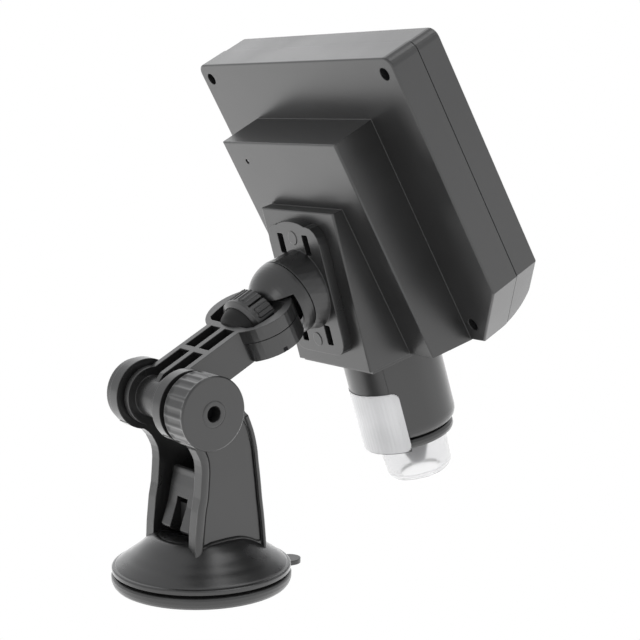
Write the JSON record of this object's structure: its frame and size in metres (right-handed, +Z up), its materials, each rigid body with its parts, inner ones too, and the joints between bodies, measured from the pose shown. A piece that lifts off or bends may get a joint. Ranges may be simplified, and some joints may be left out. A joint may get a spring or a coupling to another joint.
{
  "type": "lcd digital microscope",
  "caption": "Desk microscope with a built-in screen, lens tube and clear cap, on a ball-type holder, jointed arm and suction foot with a cam lever.",
  "frame": {"origin": "centre of the suction face, on the surface that it stands on", "axes": "+X along the arm's pivot towards its knob, +Y from the tower towards the screen housing, +Z up"},
  "size_m": [0.1283, 0.1391, 0.1871],
  "materials": {
    "black_plastic": "fine satin texture",
    "shell_plastic": "fine spark-eroded texture",
    "stand_plastic": "satin gloss",
    "soft_ring": "smooth, slightly glossy",
    "steel": "brushed",
    "brass": "plain",
    "screen": "glossy dark",
    "clear": "frosted",
    "lens": "coated",
    "board": "solder mask",
    "cell": "foil",
    "grey_plastic": "satin",
    "label_film": "satin silver film",
    "panel": "dark display panel"
  },
  "bodies": {
    "base": {"suction_cup": "soft_ring", "base_tower": "stand_plastic", "pivot_bolt": "steel", "washer_left": "steel", "washer_right": "steel"},
    "stem": {"cup_stem": "black_plastic", "lever_pin": "steel"},
    "lever": {"cam_lever": "stand_plastic"},
    "knob": {"pivot_knob": "stand_plastic", "knob_nut": "brass"},
    "arm": {"arm": "stand_plastic", "lower_jaw": "stand_plastic", "jaw_screw_left": "steel", "jaw_screw_right": "steel", "tilt_pin": "steel"},
    "wheel": {"thumb_wheel": "stand_plastic", "clamp_screw": "steel"},
    "ball": {"dome_cap": "stand_plastic", "swivel_ring": "brass"},
    "head": {"holder_plate": "stand_plastic", "rear_shell": "shell_plastic", "front_shell": "shell_plastic", "bottom_lip": "black_plastic", "screen_window": "screen", "lcd_panel": "panel", "main_board": "board", "battery": "cell", "guide_sleeve": "black_plastic", "sensor_board": "board", "led_board": "label_film", "tube_front": "black_plastic", "tube_rear": "black_plastic", "tube_ring": "black_plastic", "tube_label": "label_film", "usb_socket": "steel", "card_socket": "steel", "reset_switch": "black_plastic", "shell_screw_1": "steel", "shell_screw_2": "steel", "shell_screw_3": "steel", "shell_screw_4": "steel"},
    "focus": {"focus_wheel": "black_plastic", "focus_axle": "steel"},
    "lens": {"lens_carrier": "grey_plastic", "focus_rack": "grey_plastic", "lens_glass": "lens"},
    "cap": {"clear_cap": "clear"},
    "reset": {"reset_button": "grey_plastic"},
    "key_1": {"button_1": "grey_plastic"},
    "key_2": {"button_2": "grey_plastic"},
    "key_3": {"button_3": "grey_plastic"},
    "key_4": {"button_4": "grey_plastic"},
    "key_5": {"button_5": "grey_plastic"},
    "key_6": {"button_6": "grey_plastic"}
  },
  "joints": [
    {"name": "arm_tilt", "type": "hinge", "parent": "base", "child": "arm", "pos_m": [0, -0.014, 0.066], "axis": [1, 0, 0], "range_deg": [-8, 60]},
    {"name": "knob_turn", "type": "hinge", "parent": "base", "child": "knob", "pos_m": [0.02, -0.014, 0.066], "axis": [1, 0, 0], "range_deg": [0, 270]},
    {"name": "stem_lift", "type": "slide", "parent": "base", "child": "stem", "axis": [0, 0, 1], "range_m": [0, 0.004]},
    {"name": "lever_press", "type": "hinge", "parent": "stem", "child": "lever", "pos_m": [0, -0.003, 0.0256], "axis": [1, 0, 0], "range_deg": [0, 85]},
    {"name": "wheel_turn", "type": "hinge", "parent": "arm", "child": "wheel", "pos_m": [0, 0.02221, 0.08756], "axis": [0, 0.8988, 0.4384], "range_deg": [0, 270]},
    {"name": "head_tilt", "type": "hinge", "parent": "arm", "child": "ball", "pos_m": [0, 0.03743, 0.09498], "axis": [1, 0, 0], "range_deg": [-20, 0]},
    {"name": "head_swivel", "type": "hinge", "parent": "ball", "child": "head", "pos_m": [0, 0.03743, 0.09498], "axis": [0, 0.8988, 0.4384], "continuous": true},
    {"name": "key_1_press", "type": "slide", "parent": "head", "child": "key_1", "axis": [-0.0597, -0.8853, -0.4612], "range_m": [0, 0.0008], "stiffness_N_per_m": 400, "springref_m": -0.0005},
    {"name": "key_2_press", "type": "slide", "parent": "head", "child": "key_2", "axis": [-0.0597, -0.8853, -0.4612], "range_m": [0, 0.0008], "stiffness_N_per_m": 400, "springref_m": -0.0005},
    {"name": "key_3_press", "type": "slide", "parent": "head", "child": "key_3", "axis": [-0.0597, -0.8853, -0.4612], "range_m": [0, 0.0008], "stiffness_N_per_m": 400, "springref_m": -0.0005},
    {"name": "key_4_press", "type": "slide", "parent": "head", "child": "key_4", "axis": [-0.0597, -0.8853, -0.4612], "range_m": [0, 0.0008], "stiffness_N_per_m": 400, "springref_m": -0.0005},
    {"name": "key_5_press", "type": "slide", "parent": "head", "child": "key_5", "axis": [-0.0597, -0.8853, -0.4612], "range_m": [0, 0.0008], "stiffness_N_per_m": 400, "springref_m": -0.0005},
    {"name": "key_6_press", "type": "slide", "parent": "head", "child": "key_6", "axis": [-0.0597, -0.8853, -0.4612], "range_m": [0, 0.0008], "stiffness_N_per_m": 400, "springref_m": -0.0005},
    {"name": "focus_turn", "type": "hinge", "parent": "head", "child": "focus", "pos_m": [0.00543, 0.09696, 0.09805], "axis": [0.9944, -0.0933, 0.0504], "range_deg": [-90, 90]},
    {"name": "lens_slide", "type": "slide", "parent": "head", "child": "lens", "axis": [-0.0733, -0.2615, 0.9624], "range_m": [-0.00392, 0.00392]},
    {"name": "cap_pull", "type": "slide", "parent": "head", "child": "cap", "axis": [0.0733, 0.2615, -0.9624], "range_m": [0, 0.015]},
    {"name": "reset_press", "type": "slide", "parent": "head", "child": "reset", "axis": [0.0597, 0.8853, 0.4612], "range_m": [0, 0.0004], "stiffness_N_per_m": 200, "springref_m": -0.0005}
  ],
  "couplings": [
    {"joint": "lever_press", "follows": "stem_lift", "rad_per_m": 370.88},
    {"joint": "focus_turn", "follows": "lens_slide", "rad_per_m": -400}
  ]
}
